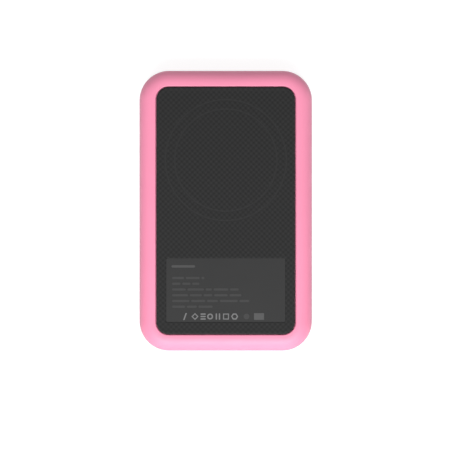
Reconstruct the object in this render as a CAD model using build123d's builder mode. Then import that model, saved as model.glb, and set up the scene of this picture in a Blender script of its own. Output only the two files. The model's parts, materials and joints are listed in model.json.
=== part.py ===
"""Magnetic wireless power bank: a slim slab with rounded edges that clings to the back of a phone.

Frame: X across the width, Y along the length, Z out of the pad. The origin is the middle of the flat
face that the slab rests on. All sizes are millimetres. The port, the button and the lights are in the
end wall at -Y. Each piece is written to parts/ under its own name.
"""

import os
from math import degrees, radians, tan

from build123d import *

os.makedirs("parts", exist_ok=True)

# ------------------------------------------------------------------ driving dimensions
WIDTH = 64.6
LENGTH = 104.8
THICKNESS = 14.0
CORNER_R = 11.1
EDGE_R = 5.0
WALL = 1.5
EPS = 0.01

# pad, its opening in the frame, and the label on it
PAD_MARGIN = 6.3
PAD_PROUD = 0.3
PAD_RECESS = 1.0
PAD_GAP = 0.25
PAD_EDGE_R = 0.5
FRAME_LIP_R = 0.4
ADHESIVE_T = 0.1
ADHESIVE_INSET = 0.8
CEILING_T = 1.1
RING_CENTRE = (0.0, 18.6)
RING_RADII = (18.95, 22.45)
RING_LINE_W = 0.4
RING_LINE_DEPTH = 0.1
LABEL_SIZE = (44.3, 23.8)
LABEL_CENTRE = (0.0, -29.5)
LABEL_CORNER_R = 0.6
LABEL_RECESS = 0.2
LABEL_T = 0.15
LABEL_GAP = 0.1

# heights that the shells share
SHELL_TOP = THICKNESS - PAD_PROUD
PARTING_Z = SHELL_TOP / 2
RECESS_Z = SHELL_TOP - PAD_RECESS
CEILING_Z = RECESS_Z - CEILING_T
PAD_Z = RECESS_Z + ADHESIVE_T
INNER_EDGE_R = EDGE_R - WALL
PARTING_GROOVE = 0.12
LIP_INSET = 0.8
LIP_HEIGHT = 1.2
LIP_CLEARANCE = 0.1

# screws, hidden under the pad
SCREW_X = 23.2
SCREW_Y = 43.0
UPPER_SCREWS = [(-SCREW_X, SCREW_Y), (SCREW_X, SCREW_Y)]
LOWER_SCREWS = [(-SCREW_X, -SCREW_Y), (SCREW_X, -SCREW_Y)]
ALL_SCREWS = UPPER_SCREWS + LOWER_SCREWS
BOSS_R = 2.2
SCREW_R = 0.8
SCREW_HEAD_R = 1.4
SCREW_HEAD_H = 0.7
SCREW_TIP_Z = 2.2
SCREW_TIP_H = 0.7
PILOT_R = 0.82
PILOT_FLOOR_Z = 1.9
SCREW_HOLE_R = 0.9
HEAD_BORE_R = 1.5
HEAD_BORE_DEPTH = 0.8

# lower end wall: an end plate on a ledge carries the openings, centred on the parting line
END_Y = -LENGTH / 2
INNER_END_Y = END_Y + WALL
END_FACE = Plane(origin=(0, END_Y, PARTING_Z), x_dir=(1, 0, 0), z_dir=(0, -1, 0))
OPENING_DEPTH = 2.5
PLATE = (41.8, 5.2)
PLATE_T = 0.8
PLATE_LEDGE = 0.6
PLATE_GAP = 0.05
PORT_OPENING = (9.3, 3.5)
PORT_BEVEL = 0.35
PORT_BEVEL_DEG = 45
BUTTON_X = 14.0
BUTTON_FACE = (9.0, 2.6)
BUTTON_CLEARANCE = 0.12
LIGHT_XS = (-10.4, -13.4, -16.4, -19.4)
LIGHT_R = 0.6
LIGHT_CLEARANCE = 0.03

# battery cell
CELL_W = 52.0
CELL_Y0 = -33.2
CELL_Y1 = 40.5
CELL_Z = 1.8
CELL_H = 6.4
CELL_CORNER_R = 1.5
CELL_EDGE_R = 1.2
CELL_TOP = CELL_Z + CELL_H
TERRACE_L = 3.8
TERRACE_T = 0.4
TERRACE_Z = 4.6

# stack above the cell
SPREADER_T = 0.2
TRAY_Z = CELL_TOP + SPREADER_T
TRAY_T = 0.7
TRAY_TOP = TRAY_Z + TRAY_T
TRAY_R = 28.3
TRAY_WALL_H = 1.5
MAGNET_R = (23.0, 27.25)
MAGNET_GAP = 0.2
MAGNET_COUNT = 16
MAGNET_SPACE = 0.35
RING_OPENING_DEG = 20.0
OPENING_AT_DEG = -90.0
SHUNT_T = 0.4
MAGNET_T = 1.8
FERRITE_R = 21.8
FERRITE_T = 0.6
FERRITE_TOP = TRAY_TOP + FERRITE_T
COIL_R = (10.4, 21.4)
COIL_T = 1.0
COIL_TOP = FERRITE_TOP + COIL_T
NOTCH_W = 7.6
NOTCH_OVERLAP = 1.0

# main board and what stands on it
BOARD_T = 1.0
USB_SHELL = (8.94, 3.16)
USB_METAL = 0.3
USB_DEPTH = 7.3
USB_SET_BACK = 0.5
BOARD_TOP = PARTING_Z - USB_SHELL[1] / 2
BOARD_Y0 = -50.2
BOARD_Y1 = -38.4
BOARD_INSET = WALL + 0.5
NOTCH_DEPTH = 1.3
BUTTON_NOTCH_W = 13.0

made = []


def keep(part, name):
    """Labels a finished piece and writes it to its own file."""
    part.label = name
    export_step(part, f"parts/{name}.step")
    made.append(part)


def shrunk(sizes, margin):
    """Width and height with the same margin taken off every side."""
    return [size - 2 * margin for size in sizes]


def outline(z, inset=0.0):
    """The slab's rounded outline at height z, moved in by inset."""
    with BuildSketch(Plane.XY.offset(z)) as sketch:
        RectangleRounded(WIDTH - 2 * inset, LENGTH - 2 * inset, CORNER_R - inset)
    return sketch.sketch


def outline_ring(z, outer_inset, inner_inset):
    """The band between two insets of the outline."""
    with BuildSketch(Plane.XY.offset(z)) as sketch:
        add(outline(0, outer_inset))
        add(outline(0, inner_inset), mode=Mode.SUBTRACT)
    return sketch.sketch


def discs(z, points, radius):
    """Equal circles at the given points, at height z."""
    with BuildSketch(Plane.XY.offset(z)) as sketch:
        with Locations(*points):
            Circle(radius)
    return sketch.sketch


def ring(z, inner_r, outer_r):
    """A flat ring round the magnetic centre, at height z."""
    with BuildSketch(Plane.XY.offset(z)) as sketch:
        with Locations(RING_CENTRE):
            Circle(outer_r)
            Circle(inner_r, mode=Mode.SUBTRACT)
    return sketch.sketch


def face_at(builder, z):
    """The flat horizontal face of a part at height z, the largest if there are several."""
    level = builder.faces().filter_by(Plane.XY).filter_by_position(Axis.Z, z - EPS, z + EPS)
    return level.sort_by(SortBy.AREA)[-1]


def wire(points, bend_r, diameter):
    """A round wire along straight runs joined by tangent bends."""
    with BuildPart() as part:
        with BuildLine() as path:
            FilletPolyline(*points, radius=bend_r)
        with BuildSketch(path.line ^ 0):
            Circle(diameter / 2)
        sweep()
    return part.part


# ------------------------------------------------------------------ outer form and the end plate's seat
with BuildPart() as slab:
    extrude(outline(0), amount=SHELL_TOP)
    fillet([*face_at(slab, 0).edges(), *face_at(slab, SHELL_TOP).edges()], EDGE_R)

with BuildPart() as plate_seat:
    with BuildSketch(END_FACE):
        SlotOverall(*PLATE)
    extrude(amount=-PLATE_T)
    with BuildSketch(END_FACE):
        SlotOverall(*shrunk(PLATE, PLATE_LEDGE))
    extrude(amount=-OPENING_DEPTH)

# ------------------------------------------------------------------ end plate
with BuildPart() as end_openings:
    with BuildSketch(END_FACE):
        SlotOverall(*PORT_OPENING)
        with Locations((BUTTON_X, 0)):
            SlotOverall(*shrunk(BUTTON_FACE, -BUTTON_CLEARANCE))
        with Locations(*[(x, 0) for x in LIGHT_XS]):
            Circle(LIGHT_R + LIGHT_CLEARANCE)
    extrude(amount=-OPENING_DEPTH)
    with BuildSketch(END_FACE):
        SlotOverall(*shrunk(PORT_OPENING, -PORT_BEVEL))
    extrude(amount=-PORT_BEVEL, taper=PORT_BEVEL_DEG)

with BuildPart() as end_plate:
    with BuildSketch(END_FACE):
        SlotOverall(*shrunk(PLATE, PLATE_GAP))
    extrude(amount=-PLATE_T)
    add(slab.part, mode=Mode.INTERSECT)
    add(end_openings.part, mode=Mode.SUBTRACT)
keep(end_plate.part, "end_plate")

# ------------------------------------------------------------------ rear shell
RIB_T = 0.8
RIB_CLEARANCE = 0.3
RIB_X = CELL_W / 2 + RIB_CLEARANCE + RIB_T / 2
RIB_H = 3.0
RIB_L = 18.0
RIB_YS = (-18.0, 22.0)
STOP_RIB_Y = -37.8
STOP_RIB_L = 30.0
STOP_RIB_H = 2.6

with BuildPart() as rear_shell:
    extrude(outline(0), amount=PARTING_Z)
    fillet(face_at(rear_shell, 0).edges(), EDGE_R)
    chamfer(face_at(rear_shell, PARTING_Z).edges(), PARTING_GROOVE)
    extrude(outline(WALL, WALL), amount=PARTING_Z, mode=Mode.SUBTRACT)
    fillet(face_at(rear_shell, WALL).edges(), INNER_EDGE_R)
    extrude(outline_ring(PARTING_Z, LIP_INSET, WALL), amount=LIP_HEIGHT)
    extrude(discs(WALL, UPPER_SCREWS, BOSS_R), amount=TRAY_Z - WALL)
    extrude(discs(WALL, LOWER_SCREWS, BOSS_R), amount=BOARD_TOP - BOARD_T - WALL)
    with BuildSketch(Plane.XY.offset(WALL)):
        with Locations(*[(side * RIB_X, y) for side in (-1, 1) for y in RIB_YS]):
            Rectangle(RIB_T, RIB_L)
    extrude(amount=RIB_H)
    with BuildSketch(Plane.XY.offset(WALL)):
        with Locations((0, STOP_RIB_Y)):
            Rectangle(STOP_RIB_L, RIB_T)
    extrude(amount=STOP_RIB_H)
    extrude(discs(PILOT_FLOOR_Z, ALL_SCREWS, PILOT_R), amount=THICKNESS, mode=Mode.SUBTRACT)
    add(plate_seat.part, mode=Mode.SUBTRACT)
keep(rear_shell.part, "rear_shell")

# ------------------------------------------------------------------ front frame
with BuildPart() as front_frame:
    extrude(outline(PARTING_Z), amount=SHELL_TOP - PARTING_Z)
    fillet(face_at(front_frame, SHELL_TOP).edges(), EDGE_R)
    chamfer(face_at(front_frame, PARTING_Z).edges(), PARTING_GROOVE)
    extrude(outline(PARTING_Z, WALL), amount=CEILING_Z - PARTING_Z, mode=Mode.SUBTRACT)
    fillet(face_at(front_frame, CEILING_Z).edges(), INNER_EDGE_R)
    extrude(outline(RECESS_Z, PAD_MARGIN), amount=THICKNESS, mode=Mode.SUBTRACT)
    fillet(face_at(front_frame, SHELL_TOP).inner_wires()[0].edges(), FRAME_LIP_R)
    extrude(
        outline_ring(PARTING_Z, LIP_INSET - LIP_CLEARANCE, WALL),
        amount=LIP_HEIGHT + LIP_CLEARANCE,
        mode=Mode.SUBTRACT,
    )
    extrude(discs(TRAY_TOP, UPPER_SCREWS, BOSS_R), amount=CEILING_Z - TRAY_TOP)
    extrude(discs(BOARD_TOP, LOWER_SCREWS, BOSS_R), amount=CEILING_Z - BOARD_TOP)
    with Locations(*[(x, y, RECESS_Z) for x, y in ALL_SCREWS]):
        CounterBoreHole(SCREW_HOLE_R, HEAD_BORE_R, HEAD_BORE_DEPTH)
    add(plate_seat.part, mode=Mode.SUBTRACT)
keep(front_frame.part, "front_frame")

# ------------------------------------------------------------------ case screws
RECESS_CROSS = (1.5, 0.35)
RECESS_CROSS_DEPTH = 0.45
SCREW_HEAD_EDGE_R = 0.25
HEAD_SEAT_Z = RECESS_Z - HEAD_BORE_DEPTH
HEAD_TOP_Z = HEAD_SEAT_Z + SCREW_HEAD_H

with BuildPart() as one_screw:
    with BuildSketch(Plane.XZ):
        with BuildLine():
            Polyline(
                (0, SCREW_TIP_Z),
                (SCREW_R, SCREW_TIP_Z + SCREW_TIP_H),
                (SCREW_R, HEAD_SEAT_Z),
                (SCREW_HEAD_R, HEAD_SEAT_Z),
                (SCREW_HEAD_R, HEAD_TOP_Z),
                (0, HEAD_TOP_Z),
                close=True,
            )
        make_face()
    revolve(axis=Axis.Z)
    fillet(one_screw.edges().filter_by(GeomType.CIRCLE).group_by(Axis.Z)[-1], SCREW_HEAD_EDGE_R)
    with BuildSketch(Plane.XY.offset(HEAD_TOP_Z)):
        Rectangle(*RECESS_CROSS)
        Rectangle(RECESS_CROSS[1], RECESS_CROSS[0])
    extrude(amount=-RECESS_CROSS_DEPTH, mode=Mode.SUBTRACT)

with BuildPart() as case_screws:
    with Locations(*ALL_SCREWS):
        add(one_screw.part)
keep(case_screws.part, "case_screws")

# ------------------------------------------------------------------ pad, its adhesive and its label
with BuildPart() as pad_adhesive:
    extrude(outline(RECESS_Z, PAD_MARGIN + ADHESIVE_INSET), amount=ADHESIVE_T)
keep(pad_adhesive.part, "pad_adhesive")

with BuildPart() as contact_pad:
    extrude(outline(PAD_Z, PAD_MARGIN + PAD_GAP), amount=THICKNESS - PAD_Z)
    fillet(face_at(contact_pad, THICKNESS).edges(), PAD_EDGE_R)
    with BuildSketch(Plane.XY.offset(THICKNESS)):
        with Locations(LABEL_CENTRE):
            RectangleRounded(*LABEL_SIZE, LABEL_CORNER_R)
    extrude(amount=-LABEL_RECESS, mode=Mode.SUBTRACT)
    for line_r in RING_RADII:
        extrude(
            ring(THICKNESS, line_r - RING_LINE_W / 2, line_r + RING_LINE_W / 2),
            amount=-RING_LINE_DEPTH,
            mode=Mode.SUBTRACT,
        )
keep(contact_pad.part, "contact_pad")

with BuildPart() as rating_label:
    with BuildSketch(Plane.XY.offset(THICKNESS - LABEL_RECESS)):
        with Locations(LABEL_CENTRE):
            RectangleRounded(*shrunk(LABEL_SIZE, LABEL_GAP), LABEL_CORNER_R - LABEL_GAP)
    extrude(amount=LABEL_T)
keep(rating_label.part, "rating_label")

# ------------------------------------------------------------------ power button and its switch
BUTTON_INSET = 0.05
BUTTON_EDGE_R = 0.3
BUTTON_FLANGE = (10.4, 3.4)
BUTTON_FLANGE_T = 1.5
BUTTON_NUB = (2.4, 0.15)
FLANGE_GAP = 0.1
FLANGE_DEPTH = PLATE_T + FLANGE_GAP
FLANGE_BACK = FLANGE_DEPTH + BUTTON_FLANGE_T
PLUNGER_FACE = (2.0, 1.6)
PLUNGER_DEPTH = FLANGE_BACK + BUTTON_NUB[1]
PLUNGER_L = 1.8
PLUNGER_EDGE_R = 0.25
SWITCH_BODY = (6.0, 3.0, 3.1)
SWITCH_DEPTH = 3.8
SWITCH_POCKET_DEPTH = 1.4
SWITCH_COVER_T = 0.15
SLIDE_CLEARANCE = 0.06

with BuildPart() as power_button:
    with BuildSketch(END_FACE.offset(-BUTTON_INSET)):
        with Locations((BUTTON_X, 0)):
            SlotOverall(*BUTTON_FACE)
    extrude(amount=BUTTON_INSET - FLANGE_DEPTH)
    fillet(power_button.faces().sort_by(Axis.Y)[0].edges(), BUTTON_EDGE_R)
    with BuildSketch(END_FACE.offset(-FLANGE_DEPTH)):
        with Locations((BUTTON_X, 0)):
            SlotOverall(*BUTTON_FLANGE)
    extrude(amount=-BUTTON_FLANGE_T)
    with BuildSketch(END_FACE.offset(-FLANGE_BACK)):
        with Locations((BUTTON_X, 0)):
            Circle(BUTTON_NUB[0] / 2)
    extrude(amount=-BUTTON_NUB[1])
keep(power_button.part, "power_button")

with BuildPart() as switch_plunger:
    with BuildSketch(END_FACE.offset(-PLUNGER_DEPTH)):
        with Locations((BUTTON_X, 0)):
            Rectangle(*PLUNGER_FACE)
    extrude(amount=-PLUNGER_L)
    fillet(switch_plunger.edges().filter_by(Axis.Y), PLUNGER_EDGE_R)
keep(switch_plunger.part, "switch_plunger")

SWITCH_Z = BOARD_TOP + SWITCH_BODY[2] / 2 - PARTING_Z

with BuildPart() as switch_body:
    with BuildSketch(END_FACE.offset(-SWITCH_DEPTH)):
        with Locations((BUTTON_X, SWITCH_Z)):
            Rectangle(SWITCH_BODY[0], SWITCH_BODY[2])
    extrude(amount=-SWITCH_BODY[1])
    with BuildSketch(END_FACE.offset(-SWITCH_DEPTH)):
        with Locations((BUTTON_X, 0)):
            Rectangle(*shrunk(PLUNGER_FACE, -SLIDE_CLEARANCE))
    extrude(amount=-SWITCH_POCKET_DEPTH, mode=Mode.SUBTRACT)
keep(switch_body.part, "switch_body")

COVER_W = SWITCH_BODY[0] + 2 * SWITCH_COVER_T
COVER_H = SWITCH_BODY[2] + SWITCH_COVER_T

with BuildPart() as switch_cover:
    with BuildSketch(END_FACE.offset(-SWITCH_DEPTH)):
        with Locations((BUTTON_X, BOARD_TOP - PARTING_Z)):
            Rectangle(COVER_W, COVER_H, align=(Align.CENTER, Align.MIN))
            Rectangle(SWITCH_BODY[0], SWITCH_BODY[2], align=(Align.CENTER, Align.MIN), mode=Mode.SUBTRACT)
    extrude(amount=-SWITCH_BODY[1])
keep(switch_cover.part, "switch_cover")

# ------------------------------------------------------------------ status lights
PIPE_INSET = 0.03
PIPE_OVERLAP = 0.3
PIPE_BAR = (12.4, 1.2, 2.0)
PIPE_BAR_Y = INNER_END_Y + 0.05
LED_SIZE = (1.6, 0.8, 0.9)
LED_GAP = 0.15

with BuildPart() as light_pipe:
    with BuildSketch(END_FACE.offset(-PIPE_INSET)):
        with Locations(*[(x, 0) for x in LIGHT_XS]):
            Circle(LIGHT_R)
    extrude(amount=PIPE_INSET - WALL - PIPE_OVERLAP)
    with Locations((sum(LIGHT_XS) / len(LIGHT_XS), PIPE_BAR_Y, PARTING_Z)):
        Box(*PIPE_BAR, align=(Align.CENTER, Align.MIN, Align.CENTER))
keep(light_pipe.part, "light_pipe")

with BuildPart() as status_leds:
    with Locations(*[(x, PIPE_BAR_Y + PIPE_BAR[1] + LED_GAP, BOARD_TOP) for x in LIGHT_XS]):
        Box(*LED_SIZE, align=(Align.CENTER, Align.MIN, Align.MIN))
keep(status_leds.part, "status_leds")

# ------------------------------------------------------------------ USB-C receptacle
USB_BASE_DEPTH = 5.6
USB_FIT = 0.02
TONGUE = (6.69, 0.7)
TONGUE_SET_BACK = 0.45
CONTACT_COUNT = 12
CONTACT_PITCH = 0.5
CONTACT = (0.25, 0.06)
CONTACT_L = 3.9
CONTACT_SET_BACK = 0.4
TONGUE_EDGE_R = 0.2
LEG = (0.3, 1.1, 0.9)
LEG_YS = (END_Y + 3.4, END_Y + 6.8)
LEG_X = USB_SHELL[0] / 2 - LEG[0] / 2
LEG_SLOT = (0.7, 1.5)
usb_mouth = END_FACE.offset(-USB_SET_BACK)

with BuildPart() as usb_shell:
    with BuildSketch(usb_mouth):
        SlotOverall(*USB_SHELL)
        SlotOverall(*shrunk(USB_SHELL, USB_METAL), mode=Mode.SUBTRACT)
    extrude(amount=-USB_DEPTH)
    with Locations(*[(side * LEG_X, y, PARTING_Z) for side in (-1, 1) for y in LEG_YS]):
        Box(LEG[0], LEG[1], LEG[2] + USB_SHELL[1] / 2, align=(Align.CENTER, Align.CENTER, Align.MAX))
keep(usb_shell.part, "usb_shell")

with BuildPart() as usb_tongue:
    with BuildSketch(usb_mouth.offset(-USB_BASE_DEPTH)):
        SlotOverall(*shrunk(USB_SHELL, USB_METAL + USB_FIT))
    extrude(amount=USB_BASE_DEPTH - USB_DEPTH)
    with BuildSketch(usb_mouth.offset(-TONGUE_SET_BACK)):
        Rectangle(*TONGUE)
    extrude(amount=TONGUE_SET_BACK - USB_BASE_DEPTH)
    fillet(usb_tongue.faces().sort_by(Axis.Y)[0].edges().filter_by(Axis.X), TONGUE_EDGE_R)
keep(usb_tongue.part, "usb_tongue")

with BuildPart() as usb_contacts:
    contact_y = END_Y + USB_SET_BACK + TONGUE_SET_BACK + CONTACT_SET_BACK
    for side in (-1, 1):
        contact_z = PARTING_Z + side * (TONGUE[1] + CONTACT[1]) / 2
        with Locations((0, contact_y + CONTACT_L / 2, contact_z)):
            with GridLocations(CONTACT_PITCH, 1, CONTACT_COUNT, 1):
                Box(CONTACT[0], CONTACT_L, CONTACT[1])
keep(usb_contacts.part, "usb_contacts")

# ------------------------------------------------------------------ main board
with BuildPart() as main_board:
    with BuildSketch(Plane.XY.offset(BOARD_TOP - BOARD_T)):
        add(outline(0, BOARD_INSET))
        with Locations((0, (BOARD_Y0 + BOARD_Y1) / 2)):
            Rectangle(WIDTH, BOARD_Y1 - BOARD_Y0, mode=Mode.INTERSECT)
        with Locations((BUTTON_X, BOARD_Y0)):
            Rectangle(BUTTON_NOTCH_W, 2 * NOTCH_DEPTH, mode=Mode.SUBTRACT)
        with Locations(*LOWER_SCREWS):
            Circle(SCREW_HOLE_R, mode=Mode.SUBTRACT)
        with Locations(*[(side * LEG_X, y) for side in (-1, 1) for y in LEG_YS]):
            SlotOverall(LEG_SLOT[1], LEG_SLOT[0], rotation=90, mode=Mode.SUBTRACT)
    extrude(amount=BOARD_T)
keep(main_board.part, "main_board")

CHIP_H = 0.85
INDUCTOR = (6.4, 6.4, 3.0)
INDUCTOR_CORNER_R = 1.2
INDUCTOR_AT = (-14.7, -43.0)
CHARGE_CHIP = (4.0, 4.0, CHIP_H)
CHARGE_CHIP_AT = (-7.2, -43.6)
WIRELESS_CHIP = (5.0, 5.0, CHIP_H)
WIRELESS_CHIP_AT = (8.6, -41.6)
MOSFET = (3.0, 3.0, 0.8)
MOSFETS_AT = [(14.2, -41.0), (18.2, -41.0)]
FILM_CAPACITOR = (3.2, 1.6, 1.6)
FILM_CAPACITORS_AT = [(13.0, -44.2), (16.8, -44.2)]
CERAMIC = (2.0, 1.25, 1.25)
CERAMICS_AT = [(-19.4, -40.4), (-19.4, -42.4), (-19.4, -44.4), (-8.4, -46.7), (6.9, -45.6), (-6.8, -48.6)]


def board_blocks(points, size, corner_r=0.0):
    """Equal blocks that stand on the main board, with rounded upright edges if corner_r is given."""
    with BuildPart() as blocks:
        with BuildSketch(Plane.XY.offset(BOARD_TOP)):
            with Locations(*points):
                if corner_r:
                    RectangleRounded(size[0], size[1], corner_r)
                else:
                    Rectangle(size[0], size[1])
        extrude(amount=size[2])
    return blocks.part


keep(board_blocks([INDUCTOR_AT], INDUCTOR, INDUCTOR_CORNER_R), "power_inductor")
keep(board_blocks([CHARGE_CHIP_AT], CHARGE_CHIP), "charge_controller")
keep(board_blocks([WIRELESS_CHIP_AT], WIRELESS_CHIP), "wireless_controller")
keep(board_blocks(MOSFETS_AT, MOSFET), "bridge_mosfets")
keep(board_blocks(FILM_CAPACITORS_AT, FILM_CAPACITOR), "resonance_capacitors")
keep(board_blocks(CERAMICS_AT, CERAMIC), "ceramic_capacitors")

# ------------------------------------------------------------------ battery cell and its protection board
CELL_MID_Y = (CELL_Y0 + CELL_Y1) / 2
PROTECTION = (40.0, 3.2, 0.8)
PROTECTION_Y = CELL_Y0 - TERRACE_L / 2
PROTECTION_Z = TERRACE_Z + TERRACE_T
PROTECTION_TOP = PROTECTION_Z + PROTECTION[2]
TAB = (4.0, 2.0, 0.15)
TAB_XS = (-15.0, 15.0)
FOAM = (8.0, 60.0)
FOAM_XS = (-15.0, 15.0)
TERRACE_MARGIN = 2.0
PROTECTION_CHIP = (4.2, 2.6, CHIP_H)
PROTECTION_CHIP_XS = (-1.5, 3.5)
STANDING = (Align.CENTER, Align.CENTER, Align.MIN)

with BuildPart() as battery_cell:
    with BuildSketch(Plane.XY.offset(CELL_Z)):
        with Locations((0, CELL_MID_Y)):
            RectangleRounded(CELL_W, CELL_Y1 - CELL_Y0, CELL_CORNER_R)
    extrude(amount=CELL_H)
    fillet(battery_cell.faces().filter_by(Plane.XY).edges(), CELL_EDGE_R)
    with Locations((0, CELL_Y0, TERRACE_Z)):
        Box(CELL_W - 2 * TERRACE_MARGIN, 2 * TERRACE_L, TERRACE_T, align=STANDING)
keep(battery_cell.part, "battery_cell")

with BuildPart() as protection_board:
    with Locations((0, PROTECTION_Y, PROTECTION_Z)):
        Box(*PROTECTION, align=STANDING)
keep(protection_board.part, "protection_board")

with BuildPart() as protection_chips:
    with Locations(*[(x, PROTECTION_Y, PROTECTION_TOP) for x in PROTECTION_CHIP_XS]):
        Box(*PROTECTION_CHIP, align=STANDING)
keep(protection_chips.part, "protection_chips")

with BuildPart() as cell_tabs:
    with Locations(*[(x, CELL_Y0, PROTECTION_TOP) for x in TAB_XS]):
        Box(*TAB, align=(Align.CENTER, Align.MAX, Align.MIN))
keep(cell_tabs.part, "cell_tabs")

with BuildPart() as cell_foam:
    with Locations(*[(x, CELL_MID_Y, WALL) for x in FOAM_XS]):
        Box(*FOAM, CELL_Z - WALL, align=STANDING)
keep(cell_foam.part, "cell_foam")

# ------------------------------------------------------------------ battery leads
LEAD_D = 1.2
LEAD_ARCH_Z = 8.6
LEAD_BEND_R = 1.9
LEAD_BOARD_Y = -40.2
LEAD_XS = {"battery_lead_red": -7.6, "battery_lead_black": -10.4}

for lead_name, lead_x in LEAD_XS.items():
    lead_route = [
        (lead_x, PROTECTION_Y, PROTECTION_TOP),
        (lead_x, PROTECTION_Y, LEAD_ARCH_Z),
        (lead_x, LEAD_BOARD_Y, LEAD_ARCH_Z),
        (lead_x, LEAD_BOARD_Y, BOARD_TOP),
    ]
    keep(wire(lead_route, LEAD_BEND_R, LEAD_D), lead_name)

# ------------------------------------------------------------------ heat spreader and coil tray
SPREADER = (50.0, 58.0)
EAR_R = 2.9
EAR_REACH = 0.75
INNER_WALL_R = (22.1, 22.8)
OUTER_WALL_R = (27.45, TRAY_R)

with BuildPart() as heat_spreader:
    with Locations((0, CELL_Y1 - CELL_EDGE_R - SPREADER[1] / 2, CELL_TOP)):
        Box(*SPREADER, SPREADER_T, align=STANDING)
keep(heat_spreader.part, "heat_spreader")

with BuildPart() as coil_tray:
    with BuildSketch(Plane.XY.offset(TRAY_Z)):
        with Locations(RING_CENTRE):
            Circle(TRAY_R)
        for ear_x, ear_y in UPPER_SCREWS:
            waist = (
                RING_CENTRE[0] + EAR_REACH * (ear_x - RING_CENTRE[0]),
                RING_CENTRE[1] + EAR_REACH * (ear_y - RING_CENTRE[1]),
            )
            SlotCenterPoint(waist, (ear_x, ear_y), 2 * EAR_R)
        with Locations(*UPPER_SCREWS):
            Circle(SCREW_HOLE_R, mode=Mode.SUBTRACT)
    extrude(amount=TRAY_T)
    extrude(ring(TRAY_TOP, *INNER_WALL_R), amount=TRAY_WALL_H)
    extrude(ring(TRAY_TOP, *OUTER_WALL_R), amount=TRAY_WALL_H)
    with Locations((RING_CENTRE[0], RING_CENTRE[1] - INNER_WALL_R[0] + NOTCH_OVERLAP, TRAY_TOP)):
        Box(NOTCH_W, TRAY_R, CEILING_Z, align=(Align.CENTER, Align.MAX, Align.MIN), mode=Mode.SUBTRACT)
keep(coil_tray.part, "coil_tray")

# ------------------------------------------------------------------ magnets and their steel ring
FULL_TURN_DEG = 360.0
arc_each = (FULL_TURN_DEG - RING_OPENING_DEG) / MAGNET_COUNT
half_segment = arc_each / 2 - degrees(MAGNET_SPACE / 2 / MAGNET_R[0])
first_angle = OPENING_AT_DEG + RING_OPENING_DEG / 2 + arc_each / 2
reach = 2 * MAGNET_R[1]

with BuildPart() as magnet_shunt:
    with BuildSketch(Plane.XY.offset(TRAY_TOP)):
        with Locations(RING_CENTRE):
            Circle(MAGNET_R[1])
            Circle(MAGNET_R[0], mode=Mode.SUBTRACT)
            gap_half_width = reach * tan(radians(RING_OPENING_DEG / 2))
            gap_wedge = [(0, 0), (-gap_half_width, -reach), (gap_half_width, -reach)]
            Polygon(*gap_wedge, align=None, mode=Mode.SUBTRACT)
    extrude(amount=SHUNT_T)
keep(magnet_shunt.part, "magnet_shunt")

with BuildSketch() as magnet_face:
    Circle(MAGNET_R[1])
    Circle(MAGNET_R[0], mode=Mode.SUBTRACT)
    half_width = reach * tan(radians(half_segment))
    Polygon((0, 0), (reach, -half_width), (reach, half_width), align=None, mode=Mode.INTERSECT)

with BuildPart() as ring_magnets:
    with BuildSketch(Plane.XY.offset(TRAY_TOP + SHUNT_T)):
        with Locations(RING_CENTRE):
            with PolarLocations(0, MAGNET_COUNT, first_angle, FULL_TURN_DEG - RING_OPENING_DEG):
                add(magnet_face.sketch)
    extrude(amount=MAGNET_T)
keep(ring_magnets.part, "ring_magnets")

# ------------------------------------------------------------------ ferrite, coil, thermistor and their leads
COIL_LEAD_D = 0.8
THERMISTOR_LEAD_D = 0.6
LEAD_TOUCH = 0.02
OVER_COIL_Z = COIL_TOP + LEAD_TOUCH + COIL_LEAD_D / 2
OVER_CELL_Z = TRAY_Z + LEAD_TOUCH + COIL_LEAD_D / 2
COIL_LEAD_BEND_R = 2.5
DESCENT_Y0 = -11.5
DESCENT_Y1 = -15.5
BOARD_PAD_Y = -40.4
OUTER_LEAD_X = 2.4
INNER_LEAD_X = 0.0
THERMISTOR_X = -2.4
THERMISTOR = (1.6, 2.4, 0.8)
THERMISTOR_Y = 13.0
THERMISTOR_CORNER_R = 0.5
THERMISTOR_STUB = 0.8
THERMISTOR_BEND_R = 0.7
OVERHANG_INNER = 0.6
OVERHANG_THERMISTOR = 1.4

with BuildPart() as ferrite_sheet:
    with BuildSketch(Plane.XY.offset(TRAY_TOP)):
        with Locations(RING_CENTRE):
            Circle(FERRITE_R)
    extrude(amount=FERRITE_T)
keep(ferrite_sheet.part, "ferrite_sheet")

with BuildPart() as charging_coil:
    extrude(ring(FERRITE_TOP, *COIL_R), amount=COIL_T)
keep(charging_coil.part, "charging_coil")


def way_to_board(x, z):
    """The shared end of a lead's route: out of the tray at height z, down to the cell and on to the board."""
    return [
        (x, DESCENT_Y0, z),
        (x, DESCENT_Y1, OVER_CELL_Z),
        (x, BOARD_PAD_Y, OVER_CELL_Z),
        (x, BOARD_PAD_Y, BOARD_TOP),
    ]


coil_mid_z = FERRITE_TOP + COIL_T / 2
outer_start = (OUTER_LEAD_X, RING_CENTRE[1] - COIL_R[1] - LEAD_TOUCH, coil_mid_z)
outer_route = [outer_start, *way_to_board(OUTER_LEAD_X, coil_mid_z)]
keep(wire(outer_route, COIL_LEAD_BEND_R, COIL_LEAD_D), "coil_lead_outer")

inner_start = (INNER_LEAD_X, RING_CENTRE[1] - COIL_R[0] + OVERHANG_INNER, OVER_COIL_Z)
inner_route = [inner_start, *way_to_board(INNER_LEAD_X, OVER_COIL_Z)]
keep(wire(inner_route, COIL_LEAD_BEND_R, COIL_LEAD_D), "coil_lead_inner")

with BuildPart() as coil_thermistor:
    with Locations((THERMISTOR_X, THERMISTOR_Y, FERRITE_TOP)):
        Box(*THERMISTOR, align=STANDING)
    fillet(coil_thermistor.edges().filter_by(Axis.Z), THERMISTOR_CORNER_R)
keep(coil_thermistor.part, "coil_thermistor")

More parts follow.
